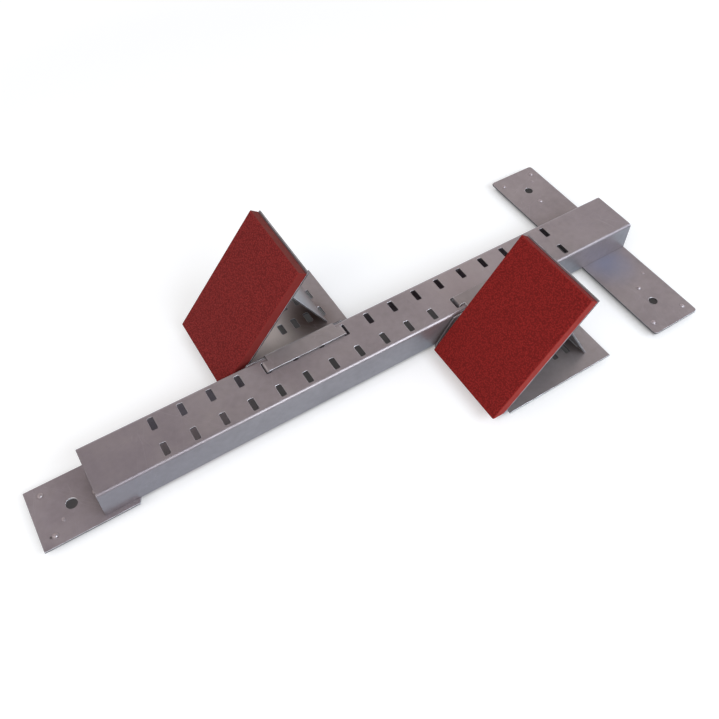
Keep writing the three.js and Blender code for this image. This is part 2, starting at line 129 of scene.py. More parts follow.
# %% [markdown]
# The other helpers are small steps that nearly every finish takes: to reckon with two
# values, to measure two vectors against each other, to carry a value from one span to
# another, to lay a colour over another through a mask, and to make a soft round mask.

# %% Helpers for masks and colours
black = (0.0, 0.0, 0.0, 1.0)
white = (1.0, 1.0, 1.0, 1.0)


def reckon(tree, operation, first, second, **settings):
    return add_node(tree, "ShaderNodeMath", {0: first, 1: second}, operation=operation,
                    **settings).outputs[0]


def measure(tree, operation, first, second):
    """One number from two vectors: how far apart they lie, or how alike they point."""
    return add_node(tree, "ShaderNodeVectorMath", {0: first, 1: second},
                    operation=operation).outputs["Value"]


def remap(tree, value, from_min, from_max, to_min=0.0, to_max=1.0, soft=False):
    """A value carried from one span to another, evenly or with soft ends."""
    return add_node(tree, "ShaderNodeMapRange", {
        "Value": value, "From Min": from_min, "From Max": from_max,
        "To Min": to_min, "To Max": to_max,
    }, interpolation_type="SMOOTHSTEP" if soft else "LINEAR").outputs["Result"]


def blend_colour(tree, mask, base, over):
    mixed = add_node(tree, "ShaderNodeMix", {"Factor": mask, "A": base, "B": over},
                     data_type="RGBA")
    return mixed.outputs["Result"]


def near(tree, place, middle, reach, least=0.0, most=1.0):
    """The most at a middle, falling softly to the least at its reach."""
    away = measure(tree, "DISTANCE", place, middle)
    return remap(tree, away, reach, 0.0, least, most, soft=True)


# %% [markdown]
# ## Floor and surroundings
#
# The picture shows the blocks on plain white. A white floor could be reached with strong
# lamps, but they would bleach the steel too. So the floor is a light grey that glows a
# little, only for rays that come from the camera, from gloss or through glass. Light that
# falls on the object doesn't change, and the object's soft shadow stays on the floor.

# %% Make the floor
half_width = 6
floor_bm = bmesh.new()
bmesh.ops.create_grid(floor_bm, x_segments=1, y_segments=1, size=half_width)
floor_mesh = bpy.data.meshes.new("floor")
floor_bm.to_mesh(floor_mesh)
floor_bm.free()
floor = bpy.data.objects.new("floor", floor_mesh)
bpy.context.scene.collection.objects.link(floor)
print("floor", round(floor.dimensions.x), "m wide")

# %% [markdown]
# A real floor doesn't glow, so the glow is taken away under the rail, the plates and the
# blocks, as painted shade, and the slots in them show as dark holes. A mask does it. It is
# worked out from the boxes of the imported pieces, and it fades like the edge of a shadow.
#
# The floor's own colour is painted dark as well, as painted shadow, under the pieces that
# never move and under the feet of the struts, where the slots of the base plates look down
# on it. Under the first slots of the rail it is painted paler, as painted daylight that comes
# in at the open front end. Far from the object the floor turns into a plain white backdrop.

# %% Mask the floor under the pieces
def beside_boxes(tree, place, nodes, least, border=-0.002, fade=0.01):
    """1 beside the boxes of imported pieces, falling to the least share inside a border."""
    beside = None
    for node in nodes:
        low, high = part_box(node)
        offset = add_node(tree, "ShaderNodeVectorMath", {0: place, 1: (low + high) / 2},
                          operation="SUBTRACT").outputs["Vector"]
        distance = add_node(tree, "ShaderNodeVectorMath", {0: offset},
                            operation="ABSOLUTE").outputs["Vector"]
        beyond = add_node(tree, "ShaderNodeVectorMath", {0: distance, 1: (high - low) / 2},
                          operation="SUBTRACT").outputs["Vector"]
        sides = add_node(tree, "ShaderNodeSeparateXYZ", {"Vector": beyond}).outputs
        outermost = reckon(tree, "MAXIMUM", sides["X"], sides["Y"])
        share = remap(tree, outermost, border - fade, border, to_min=least, soft=True)
        beside = share if beside is None else reckon(tree, "MINIMUM", beside, share)
    return beside


rail_and_plates = ("rail", "front_plate", "cross_plate")
carriers = ("right_carrier", "left_carrier")
struts = ("right_strut", "left_strut")
first_slots = (-0.25, 0.0, 0.0)

floor_material, floor_tree = new_material("pale_floor")
on_floor = add_node(floor_tree, "ShaderNodeTexCoord").outputs["Object"]
# Masks of painted shade and painted shadow under the pieces, and of a painted pool of daylight
# at the front end of the rail.
open_floor = beside_boxes(floor_tree, on_floor, rail_and_plates + carriers, 0.12)
round_rail = beside_boxes(floor_tree, on_floor, rail_and_plates, 0.0)
round_struts = beside_boxes(floor_tree, on_floor, struts, 0.0, border=0.012, fade=0.03)
pale = reckon(floor_tree, "MINIMUM", round_rail, round_struts)
daylight = near(floor_tree, on_floor, first_slots, 0.16)
far_away = remap(floor_tree, measure(floor_tree, "DISTANCE", on_floor, (0.0, 0.0, 0.0)),
                 0.9, 2.4, soft=True)
print("floor masked under", len(rail_and_plates + carriers + struts), "pieces")

# %% Colour the floor
def kinds_of_rays(tree):
    """Masks of the rays that see a backdrop, and of the rays that gloss sends out."""
    rays = add_node(tree, "ShaderNodeLightPath").outputs
    seeing = reckon(tree, "ADD", rays["Is Camera Ray"], rays["Is Transmission Ray"])
    return seeing, rays["Is Glossy Ray"]


# Painted light on the floor: the gloss sees a painted bluish reflection beside the rail, and
# under the rail painted shade that turns into bright painted daylight at its front end. The
# ground is painted dark under the pieces as painted shadow, and paler at the front end as
# painted daylight.
near_glow = (0.32, 0.32, 0.32, 1.0)
painted_blue_gloss_beside_rail = (0.17, 0.35, 0.47, 1.0)
gloss_in_shade, gloss_in_daylight = (0.23, 0.13, 0.19, 1.0), (2.5, 2.6, 3.0, 1.0)
painted_shadow_ground, painted_daylight_ground = (0.11, 0.085, 0.088, 1.0), (0.37, 0.27, 0.297, 1.0)
pale_ground = (0.78, 0.78, 0.78, 1.0)

seeing_floor, gloss_on_floor = kinds_of_rays(floor_tree)
glow = blend_colour(floor_tree, far_away, near_glow, white)
glow = blend_colour(floor_tree, seeing_floor, black, glow)
below_rail = blend_colour(floor_tree, daylight, gloss_in_shade, gloss_in_daylight)
mirrored = blend_colour(floor_tree, round_rail, below_rail, painted_blue_gloss_beside_rail)
glow = blend_colour(floor_tree, gloss_on_floor, glow, mirrored)
glow = blend_colour(floor_tree, open_floor, black, glow)
ground = blend_colour(floor_tree, daylight, painted_shadow_ground, painted_daylight_ground)
ground = blend_colour(floor_tree, pale, ground, pale_ground)
give_surface(floor_tree, {
    "Base Color": ground, "Roughness": 1.0, "Specular IOR Level": 0.0,
    "Emission Color": glow, "Emission Strength": 1.0})
floor_mesh.materials.append(floor_material)
print("floor coloured with", len(floor_tree.nodes), "nodes")

# %% [markdown]
# The world does the same above the floor: it is white to the camera, and plain soft light
# to everything else. Steel is a dull mirror, so most of its look is what it faces. The
# gloss sees a room that is a little brighter and warmer low down than straight overhead,
# which makes the rear of the rail paler than its front, as in the picture. Low on the side
# of the left foot it has a dark strip of wall.

# %% Make the room that gloss sees
world = bpy.data.worlds.new("pale_room")
world.use_nodes = True
room_tree = world.node_tree
room_tree.nodes.clear()
direction = add_node(room_tree, "ShaderNodeTexCoord").outputs["Generated"]
heading = add_node(room_tree, "ShaderNodeSeparateXYZ", {"Vector": direction}).outputs

low_room, high_room = (1.4, 1.28, 1.26, 1.0), (0.42, 0.38, 0.38, 1.0)
dark_wall = (0.16, 0.15, 0.18, 1.0)
upwards = remap(room_tree, heading["Z"], 0.55, 0.9)
above_wall = remap(room_tree, heading["Z"], 0.28, 0.42)
beside_wall = remap(room_tree, heading["Y"], -0.3, -0.1)
clear_of_wall = reckon(room_tree, "MAXIMUM", above_wall, beside_wall)
room = blend_colour(room_tree, upwards, low_room, high_room)
room = blend_colour(room_tree, clear_of_wall, dark_wall, room)
print("room made")

# %% [markdown]
# Above that strip the gloss also sees a window. The window draws the bright line along the
# bend of the rail, and the strip of wall draws the thin dark line below that. In the
# picture the line is grey at the front end, nearly white in the middle and bluish at the
# rear end, so the window has panes of three tones.

# %% Make the window and the world
front_pane = (1.0, 1.15, 1.4, 1.0)
middle_pane = (6.4, 7.2, 7.7, 1.0)
rear_pane = (0.45, 0.6, 1.1, 1.0)
soft_light = (0.62, 0.62, 0.63, 1.0)

to_window = Vector((0.45, -0.6, 0.66)).normalized()
window = remap(room_tree, measure(room_tree, "DOT_PRODUCT", direction, to_window),
               0.8, 0.93, soft=True)
towards_middle = remap(room_tree, heading["X"], 0.06, 0.34, soft=True)
towards_rear = remap(room_tree, heading["X"], 0.49, 0.615, soft=True)
panes = blend_colour(room_tree, towards_middle, front_pane, middle_pane)
panes = blend_colour(room_tree, towards_rear, panes, rear_pane)
room = blend_colour(room_tree, window, room, panes)

seeing_room, gloss_in_room = kinds_of_rays(room_tree)
around = blend_colour(room_tree, gloss_in_room, soft_light, room)
around = blend_colour(room_tree, seeing_room, around, white)
background = add_node(room_tree, "ShaderNodeBackground", {"Color": around})
add_node(room_tree, "ShaderNodeOutputWorld", {"Surface": background.outputs["Background"]})
bpy.context.scene.world = world
bpy.context.scene.view_settings.view_transform = "Standard"
print("world made with", len(room_tree.nodes), "nodes")

# %% [markdown]
# ## Lamps
#
# Soft light comes from two large lamps. The wide one stands beside the rail on the side of
# the left foot, before the window that the gloss sees, and is a little blue, as daylight
# is. The other one stands in front of the blocks and lights the faces of the pads.

# %% Hang the lamps
def soft_lamp(name, place, target, size, power, colour):
    data = bpy.data.lights.new(name, "AREA")
    data.shape = "RECTANGLE"
    data.size, data.size_y = size
    data.energy = power
    data.color = colour
    lamp = bpy.data.objects.new(name, data)
    aim = (Vector(target) - Vector(place)).to_track_quat("-Z", "Y")
    lamp.matrix_world = Matrix.Translation(place) @ aim.to_matrix().to_4x4()
    bpy.context.scene.collection.objects.link(lamp)
    print(name, "power", power, "W")


soft_lamp("window_lamp", place=(0.95, -1.85, 1.9), target=(0.45, 0, 0), size=(2.6, 1.0),
          power=38, colour=(0.84, 0.91, 1.0))
soft_lamp("front_lamp", place=(-2.4, -0.6, 2.1), target=(0, 0, 0.1), size=(2.0, 2.0),
          power=25, colour=(1.0, 0.97, 0.94))

# %% [markdown]
# ## Effects that several finishes share
#
# Galvanised sheet isn't one even grey. The zinc is cloudy, the rollers of the mill left
# faint streaks along the sheet, and handling leaves hair scratches and rubbed edges. The
# edges get a painted highlight where they face the window and painted shade where they
# turn away.
# Each effect is a group that only puts out masks from 0 to 1, so each material can use it
# with its own colours and strength.
#
# The patterns could be pictures laid on the pieces. Noise computed from the place on the
# piece needs no unwrapping, and keeps its true scale on pieces of all sizes.

# %% Helpers for the groups
def new_group(name, inputs, outputs):
    """A group with inputs that are numbers, or a vector where no number is given."""
    group = bpy.data.node_groups.new(name, "ShaderNodeTree")
    for socket, value in inputs.items():
        kind = "NodeSocketVector" if value is None else "NodeSocketFloat"
        made = group.interface.new_socket(socket, in_out="INPUT", socket_type=kind)
        if value is not None:
            made.default_value = value
    for socket in outputs:
        group.interface.new_socket(socket, in_out="OUTPUT", socket_type="NodeSocketFloat")
    start, end = add_node(group, "NodeGroupInput"), add_node(group, "NodeGroupOutput")
    return group, start.outputs, end.inputs


def noise(tree, place, scale, detail, roughness=0.5):
    return add_node(tree, "ShaderNodeTexNoise", {
        "Vector": place, "Scale": scale, "Detail": detail, "Roughness": roughness,
    }).outputs["Fac"]


def blend_value(tree, mask, base, over):
    mixed = add_node(tree, "ShaderNodeMix", {"Factor": mask, "A": base, "B": over})
    return mixed.outputs["Result"]


# %% Group for clouds in the zinc
clouds, given, put_out = new_group(
    "zinc_clouds", {"Vector": None, "Size": 14.0, "Contrast": 1.0}, ["Tone"])
broad_clouds = noise(clouds, given["Vector"], given["Size"], detail=3.0, roughness=0.55)
finer_size = reckon(clouds, "MULTIPLY", given["Size"], 7.0)
fine_clouds = noise(clouds, given["Vector"], finer_size, detail=2.0)
all_clouds = blend_value(clouds, 0.35, broad_clouds, fine_clouds)
centred = reckon(clouds, "ADD", all_clouds, -0.5)
spread = reckon(clouds, "MULTIPLY", centred, given["Contrast"])
clouds.links.new(reckon(clouds, "ADD", spread, 0.5, use_clamp=True), put_out["Tone"])
print(clouds.name, "made")

# %% Group for the streaks that rolling leaves
streaks, given, put_out = new_group(
    "rolling_streaks", {"Vector": None, "Turn": 0.0}, ["Streak"])
streak_size = (0.16, 0.0014, 0.0014)
rolled_way = add_node(streaks, "ShaderNodeCombineXYZ", {"Z": given["Turn"]}).outputs["Vector"]
drawn_out = add_node(streaks, "ShaderNodeMapping", {
    "Vector": given["Vector"], "Rotation": rolled_way, "Scale": streak_size,
}, vector_type="TEXTURE").outputs["Vector"]
streak_lines = noise(streaks, drawn_out, scale=1.0, detail=3.0, roughness=0.65)
streaks.links.new(streak_lines, put_out["Streak"])
print(streaks.name, "made")

# %% Group for hair scratches
scratches, given, put_out = new_group(
    "hair_scratches", {"Vector": None, "Amount": 0.5}, ["Scratch"])
scratch_size, hair_width = (0.07, 0.009, 0.009), 0.018
angles_and_shifts = ((0.35, 0.0), (1.25, 3.7), (2.3, 8.1))
all_hairs = None
for angle, shift in angles_and_shifts:
    laid = add_node(scratches, "ShaderNodeMapping", {
        "Vector": given["Vector"], "Location": (shift, shift, shift),
        "Rotation": (0.0, 0.0, angle), "Scale": scratch_size,
    }, vector_type="TEXTURE").outputs["Vector"]
    to_line = add_node(scratches, "ShaderNodeTexVoronoi", {
        "Vector": laid, "Scale": 1.0, "Randomness": 1.0,
    }, feature="DISTANCE_TO_EDGE").outputs["Distance"]
    hairs = remap(scratches, to_line, 0.0, hair_width, 1.0, 0.0)
    handled = remap(scratches, noise(scratches, laid, scale=0.25, detail=1.0), 0.55, 0.7)
    hairs = reckon(scratches, "MULTIPLY", hairs, handled)
    all_hairs = hairs if all_hairs is None else reckon(scratches, "MAXIMUM", all_hairs, hairs)
scratch_mask = reckon(scratches, "MULTIPLY", all_hairs, given["Amount"], use_clamp=True)
scratches.links.new(scratch_mask, put_out["Scratch"])
print(scratches.name, "made")

# %% Group for rubbed edges, with painted highlight and painted shade
def facing_share(tree, way, least, most, soft=False):
    """0 where the surface turns away from a direction and 1 where it faces it."""
    normal = add_node(tree, "ShaderNodeTexCoord").outputs["Normal"]
    return remap(tree, measure(tree, "DOT_PRODUCT", normal, way), least, most, soft=soft)


def marked_faces(tree, mark):
    return add_node(tree, "ShaderNodeAttribute", attribute_name=mark).outputs["Fac"]


rubbed, given, put_out = new_group(
    "rubbed_edges_with_painted_light", {"Vector": None, "Amount": 0.7}, ["Rub", "PaintedShade"])
# Rub is wear that shows only on edges that face the window, so it is partly a painted
# highlight. The other mask is painted shade on the edges that turn away from the window.
towards_window = (0.2, -0.75, 0.62)
edges = marked_faces(rubbed, "rounded_edge")
lit_share = facing_share(rubbed, towards_window, 0.25, 0.65)
unlit_share = reckon(rubbed, "SUBTRACT", 1.0, lit_share)
rubbed.links.new(reckon(rubbed, "MULTIPLY", edges, unlit_share), put_out["PaintedShade"])
worn = noise(rubbed, given["Vector"], scale=60.0, detail=2.0)
worn = remap(rubbed, worn, 0.35, 0.62, to_min=0.35)
worn_edges = reckon(rubbed, "MULTIPLY", edges, worn)
lit_edges = reckon(rubbed, "MULTIPLY", worn_edges, lit_share)
rub_and_highlight_mask = reckon(rubbed, "MULTIPLY", lit_edges, given["Amount"], use_clamp=True)
rubbed.links.new(rub_and_highlight_mask, put_out["Rub"])
print(rubbed.name, "made")

# %% Group for settled dust
dust, given, put_out = new_group("settled_dust", {"Vector": None, "Amount": 0.2}, ["Dust"])
straight_up = (0.0, 0.0, 1.0)
level_share = facing_share(dust, straight_up, 0.3, 0.95)
gathered = noise(dust, given["Vector"], scale=24.0, detail=5.0, roughness=0.7)
gathered = remap(dust, gathered, 0.45, 0.75)
settled = reckon(dust, "MULTIPLY", level_share, gathered)
dust_mask = reckon(dust, "MULTIPLY", settled, given["Amount"], use_clamp=True)
dust.links.new(dust_mask, put_out["Dust"])
print("shared effects:", len(bpy.data.node_groups))

# %% [markdown]
# ## Galvanised sheet
#
# The rail, its plates and the blocks are one kind of steel sheet, dipped in zinc after it
# was cut. Its faces are a warm satin grey. The cut faces are rougher and darker, because
# the shear tears the steel there.
#
# The recipe lays the effects over each other in the order in which they came about, with
# the painted light among them: the cloudy zinc first, then streaks, stained and painted
# patches, cut faces and scratches, then the edges with their rub, painted highlight and
# painted shade, and dust last. Colours are given as they are read on a screen, and are
# turned into light first.

# %% Tones and roughness of the zinc
def from_screen(red, green, blue):
    """A colour as it is read on a screen, from 0 to 255, as the light that it stands for."""
    shares = [value / 255 for value in (red, green, blue)]
    light = [s / 12.92 if s < 0.04045 else ((s + 0.055) / 1.055) ** 2.4 for s in shares]
    return (*light, 1.0)


streak_tone = from_screen(112, 106, 110)
scratch_tone = from_screen(176, 172, 176)
# The dull edge tone is painted shade, and the rubbed edge tone is rubbed metal with a painted
# highlight.
painted_shade_edge_tone = from_screen(64, 58, 58)
rubbed_and_highlit_edge_tone = from_screen(204, 202, 207)
painted_glint_tone = from_screen(232, 231, 234)
dust_tone = from_screen(150, 140, 132)
sheared_tone = (98, 92, 93)

dark_zinc_roughness, light_zinc_roughness = 0.4, 0.32
cut_roughness, scratch_roughness, dust_roughness = 0.62, 0.3, 0.85
zinc_metal, dust_metal = 0.45, 0.1
usual_rubbing, least_rubbing, streak_share = 0.95, 0.2, 0.07
print("dust as light:", [round(share, 3) for share in dust_tone[:3]])

# %% Recipe for galvanised sheet
def use_group(tree, group, **inputs):
    return add_node(tree, "ShaderNodeGroup", inputs, node_tree=group).outputs


def bump(tree, height, strength, distance, below=None, invert=False):
    """A surface that rises and falls with a pattern, laid over another such surface."""
    inputs = {"Height": height, "Strength": strength, "Distance": distance}
    if below is not None:
        inputs["Normal"] = below
    return add_node(tree, "ShaderNodeBump", inputs, invert=invert).outputs["Normal"]


def galvanised_sheet(name, turn, light, dark, cut_edge=sheared_tone, stains_and_painted_light=(), held_at=None,
                     painted_glint_at=None):
    material, tree = new_material(name)
    place = add_node(tree, "ShaderNodeTexCoord").outputs["Object"]
    rubbing = near(tree, place, **held_at, least=least_rubbing) if held_at else usual_rubbing
    tone = use_group(tree, clouds, Vector=place, Size=16.0, Contrast=2.2)["Tone"]
    streak = use_group(tree, streaks, Vector=place, Turn=turn)["Streak"]
    scratch = use_group(tree, scratches, Vector=place, Amount=0.22)["Scratch"]
    edge = use_group(tree, rubbed, Vector=place, Amount=rubbing)
    lying = use_group(tree, dust, Vector=place, Amount=0.22)["Dust"]
    cut = marked_faces(tree, "cut_face")

    colour = blend_colour(tree, tone, from_screen(*dark), from_screen(*light))
    faint_streak = reckon(tree, "MULTIPLY", streak, streak_share)
    colour = blend_colour(tree, faint_streak, colour, streak_tone)
    for patch_colour, where in stains_and_painted_light:
        colour = blend_colour(tree, near(tree, place, **where), colour, from_screen(*patch_colour))
    colour = blend_colour(tree, cut, colour, from_screen(*cut_edge))
    colour = blend_colour(tree, scratch, colour, scratch_tone)
    # Painted shade on the edges that turn away from the window, then rubbed metal with a
    # painted highlight on the edges that face it.
    colour = blend_colour(tree, edge["PaintedShade"], colour, painted_shade_edge_tone)
    colour = blend_colour(tree, edge["Rub"], colour, rubbed_and_highlit_edge_tone)
    # A near-white painted highlight on the rims close to a given point.
    if painted_glint_at:
        rims = reckon(tree, "MAXIMUM", cut, marked_faces(tree, "rounded_edge"))
        painted_glint = reckon(tree, "MULTIPLY", rims, near(tree, place, **painted_glint_at))
        colour = blend_colour(tree, painted_glint, colour, painted_glint_tone)
    colour = blend_colour(tree, lying, colour, dust_tone)

    rough = blend_value(tree, tone, dark_zinc_roughness, light_zinc_roughness)
    rough = blend_value(tree, cut, rough, cut_roughness)
    rough = blend_value(tree, scratch, rough, scratch_roughness)
    rough = blend_value(tree, lying, rough, dust_roughness)
    relief = bump(tree, streak, strength=0.15, distance=0.00003)
    relief = bump(tree, scratch, strength=0.15, distance=0.00005, below=relief, invert=True)
    relief = bump(tree, tone, strength=0.3, distance=0.0004, below=relief)
    give_surface(tree, {
        "Base Color": colour, "Roughness": rough,
        "Metallic": blend_value(tree, lying, zinc_metal, dust_metal), "Normal": relief})
    print(name, "made")
    return material


# %% [markdown]
# The recipe is used once for each piece, so that the streaks can follow the way its own
# sheet was rolled. Some places get other tones, laid on as soft round patches: the rail is
# darker at its ends and paler a little behind its middle, and the front plate has a small
# dark spot beside one rivet. Three patches are painted light: a painted bluish reflection on
# one wing beside the rail, a painted pool of light on the base of the right block under its
# pad, and a painted brown shadow by the foot of its strut. Hands rub the edges of the rail
# most in its middle, where it is carried. A near-white painted highlight lies on the rims of
# the front nail hole and round the left block's hook.

# %% Mix the zinc of the rail and its plates
along_rail, across_rail = 0.0, math.pi / 2
rail_top, plate_face, base_face = 0.062, 0.013, 0.0125

rail_sheet = galvanised_sheet(
    "galvanised_rail", along_rail, (147, 138, 140), (127, 118, 120),
    held_at=dict(middle=(-0.03, -0.0375, rail_top), reach=0.48),
    stains_and_painted_light=[((114, 104, 112), dict(middle=(-0.35, 0.0, rail_top), reach=0.17, most=0.45)),
            ((164, 152, 153), dict(middle=(0.19, 0.0, rail_top), reach=0.14, most=0.5)),
            ((118, 110, 116), dict(middle=(0.44, 0.0, rail_top), reach=0.1, most=0.4))])
front_plate_sheet = galvanised_sheet(
    "galvanised_front_plate", along_rail, (149, 139, 143), (127, 117, 121),
    painted_glint_at=dict(middle=(-0.4195, 0.0072, 0.012), reach=0.011),
    # A small dark spot beside one rivet.
    stains_and_painted_light=[((36, 31, 33), dict(middle=(-0.4562, -0.0297, plate_face), reach=0.0028))])
cross_plate_sheet = galvanised_sheet(
    "galvanised_cross_plate", across_rail, (145, 136, 138), (125, 116, 118),
    # A painted bluish reflection on the wing beside the rail.
    stains_and_painted_light=[((122, 127, 150), dict(middle=(0.422, -0.056, plate_face), reach=0.055, most=0.7))])

# %% Mix the zinc of the blocks
block_sheet = galvanised_sheet(
    "galvanised_block", across_rail, (153, 145, 145), (133, 125, 125),
    painted_glint_at=dict(middle=(0.145, -0.024, 0.0635), reach=0.03))
right_base_sheet = galvanised_sheet(
    "galvanised_right_base", across_rail, (153, 145, 145), (133, 125, 125),
    # A painted pool of light under the pad, and a painted brown shadow by the foot of the
    # strut.
    stains_and_painted_light=[((222, 212, 206), dict(middle=(-0.09, 0.09, base_face), reach=0.075)),
            ((84, 64, 58), dict(middle=(-0.034, 0.1, base_face), reach=0.052))])
backing_sheet = galvanised_sheet(
    "galvanised_backing", across_rail, (140, 132, 136), (120, 112, 116), cut_edge=(70, 62, 61))

# %% [markdown]
# ## Zinc plated fasteners and weld
#
# Rivets and pins are turned steel with a thin bright plating. They are smoother and a
# little bluer than the dipped sheet. The weld beads were laid before the zinc and keep
# their ripples and a few burnt, brownish places.

# %% Recipe for fasteners and weld
rubbed_and_highlit_plating_tone = from_screen(205, 204, 208)
plating_dust_tone = from_screen(150, 140, 128)
plating_metal, plating_dust_roughness = 0.95, 0.8


def plated_fastener(name, light, dark, smooth_roughness):
    material, tree = new_material(name)
    place = add_node(tree, "ShaderNodeTexCoord").outputs["Object"]
    tone = use_group(tree, clouds, Vector=place, Size=220.0, Contrast=2.0)["Tone"]
    rub = use_group(tree, rubbed, Vector=place, Amount=0.8)["Rub"]
    lying = use_group(tree, dust, Vector=place, Amount=0.2)["Dust"]
    colour = blend_colour(tree, tone, from_screen(*dark), from_screen(*light))
    # Rubbed plating with a painted highlight, only on the edges that face the window.
    colour = blend_colour(tree, rub, colour, rubbed_and_highlit_plating_tone)
    colour = blend_colour(tree, lying, colour, plating_dust_tone)
    rough = blend_value(tree, tone, smooth_roughness + 0.1, smooth_roughness)
    rough = blend_value(tree, lying, rough, plating_dust_roughness)
    give_surface(tree, {
        "Base Color": colour, "Roughness": rough, "Metallic": plating_metal,
        "Normal": bump(tree, tone, strength=0.3, distance=0.0001)})
    print(name, "made")
    return material


plated_rivet = plated_fastener("plated_rivet", (168, 161, 164), (138, 130, 133), 0.42)
plated_pin = plated_fastener("plated_pin", (178, 177, 180), (140, 138, 142), 0.32)
weld_metal = plated_fastener("weld_metal", (142, 134, 130), (98, 88, 82), 0.5)

# %% [markdown]
# ## Rounded edges and cut faces of the sheets
#
# A sheared sheet has no sharp corners: the dies roll its edges over by a few tenths of a
# millimetre, and that small round is what catches the light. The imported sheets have
# perfectly sharp edges, so each gets a finer copy.
#
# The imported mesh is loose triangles, so the copy is merged first and each flat area is
# made into few faces. A ray shot inwards from each face then measures the metal behind it.
# Behind a face of the sheet lies one thickness, and behind a cut face much more, so the ray
# tells them apart without any list of faces. The marks are kept for the materials.

# %% Helpers that copy a sheet and mark its cut faces
def merged_copy(node):
    same_place, flat_within = 0.000003, math.radians(0.6)
    bm = bmesh.new()
    bm.from_mesh(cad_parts[node].data)
    bmesh.ops.remove_doubles(bm, verts=bm.verts, dist=same_place)
    bmesh.ops.dissolve_limit(bm, angle_limit=flat_within, verts=bm.verts, edges=bm.edges)
    return bm


def mark_cut_faces(bm, thickness):
    """Marks the faces that have more than one and a half thicknesses of metal behind them."""
    start_depth, cut_depth = 0.00002, 1.5 * thickness
    mark = bm.faces.layers.float.new("cut_face")
    largest = {}
    for corners in bm.calc_loop_triangles():
        a, b, c = (loop.vert.co for loop in corners)
        area = (b - a).cross(c - a).length
        face = corners[0].face
        if area > largest.get(face, (0, None))[0]:
            largest[face] = (area, (a + b + c) / 3)
    shape = BVHTree.FromBMesh(bm)
    for face, (_, middle) in largest.items():
        inward = -face.normal
        hit_place, _, _, depth = shape.ray_cast(middle + inward * start_depth, inward)
        face[mark] = 1.0 if hit_place and depth > cut_depth else 0.0


# %% [markdown]
# Rounding an edge moves its line inwards, which can fold a long thin triangle over. Such a
# fold would show as a dark line, so the triangle is joined with the face that it crossed.
# The finished mesh gets a weighted normal, which keeps its flat faces flat between rounds.

# %% Helpers that round and finish a piece
def round_sharp_edges(bm, radius):
    sharp_angle, folded_angle = math.radians(50), math.radians(178)
    bmesh.ops.connect_verts_concave(bm, faces=[f for f in bm.faces if len(f.verts) > 4])
    mark = bm.faces.layers.float.new("rounded_edge")
    sharp = [edge for edge in bm.edges
             if edge.is_manifold and edge.calc_face_angle() > sharp_angle]
    made = bmesh.ops.bevel(bm, geom=sharp, offset=radius, offset_type="OFFSET", segments=2,
                           profile=0.5, affect="EDGES", clamp_overlap=False, loop_slide=False,
                           face_strength_mode="ALL", material=-1)
    for face in made["faces"]:
        face[mark] = 1.0
    folded = {edge for edge in bm.edges
              if edge.is_manifold and edge.calc_face_angle() > folded_angle}
    crossed = [max(face.edges, key=lambda edge: edge.calc_length()) for face in bm.faces
               if sum(edge in folded for edge in face.edges) > 1]
    bmesh.ops.dissolve_edges(bm, edges=list(dict.fromkeys(crossed)), use_verts=False)


def finished_piece(name, bm, material, body, stands_for=()):
    mesh = bpy.data.meshes.new(name)
    bm.to_mesh(mesh)
    bm.free()
    mesh.materials.clear()
    mesh.materials.append(material)
    mesh.shade_smooth()
    piece = bpy.data.objects.new(name, mesh)
    bpy.context.scene.collection.objects.link(piece)
    shading = piece.modifiers.new("flat_faces_stay_flat", "WEIGHTED_NORMAL")
    shading.weight = 100
    shading.use_face_influence = True
    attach(piece, body)
    if stands_for:
        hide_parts(*stands_for)
    print(name, len(mesh.polygons), "faces")


def finished_sheet(node, thickness, material, body, radius=0.0005):
    bm = merged_copy(node)
    mark_cut_faces(bm, thickness)
    round_sharp_edges(bm, radius)
    finished_piece(node + "_sheet", bm, material, body, [node])


# %% Finish the sheets of the rail and its plates
thin_sheet, thick_sheet = 0.0025, 0.003
finished_sheet("rail", thin_sheet, rail_sheet, "frame")
finished_sheet("front_plate", thick_sheet, front_plate_sheet, "frame")
finished_sheet("cross_plate", thick_sheet, cross_plate_sheet, "frame")

# %% Finish the sheets of the two blocks
finished_sheet("right_carrier", thin_sheet, right_base_sheet, "right_carrier")
finished_sheet("left_carrier", thin_sheet, block_sheet, "left_carrier")
for side in ("right", "left"):
    finished_sheet(f"{side}_strut_bracket", thin_sheet, block_sheet, f"{side}_pad",
                   radius=0.0003)
    finished_sheet(f"{side}_strut", thin_sheet, block_sheet, f"{side}_strut")
    finished_sheet(f"{side}_pad_backing", thin_sheet, backing_sheet, f"{side}_pad")

# %% [markdown]
# ## Round pieces
#
# Rivets and pins are turned on a lathe or pressed between dies, so each is a profile
# spun round an axis. The profile is a short chain of points, from the axis at one end to
# the axis at the other. The spin merges its seam and its poles.

# %% Helper that spins a profile
def spun_profile(points, steps):
    """A closed body of revolution about Z from points of radius and height."""
    same_place = 0.000002
    bm = bmesh.new()
    chain = [bm.verts.new((radius, 0, height)) for radius, height in points]
    lines = [bm.edges.new(pair) for pair in zip(chain, chain[1:])]
    bmesh.ops.spin(bm, geom=chain + lines, cent=(0, 0, 0), axis=(0, 0, 1), dvec=(0, 0, 0),
                   angle=2 * math.pi, steps=steps, use_merge=True)
    bmesh.ops.remove_doubles(bm, verts=bm.verts, dist=same_place)
    bmesh.ops.recalc_face_normals(bm, faces=bm.faces)
    return bm


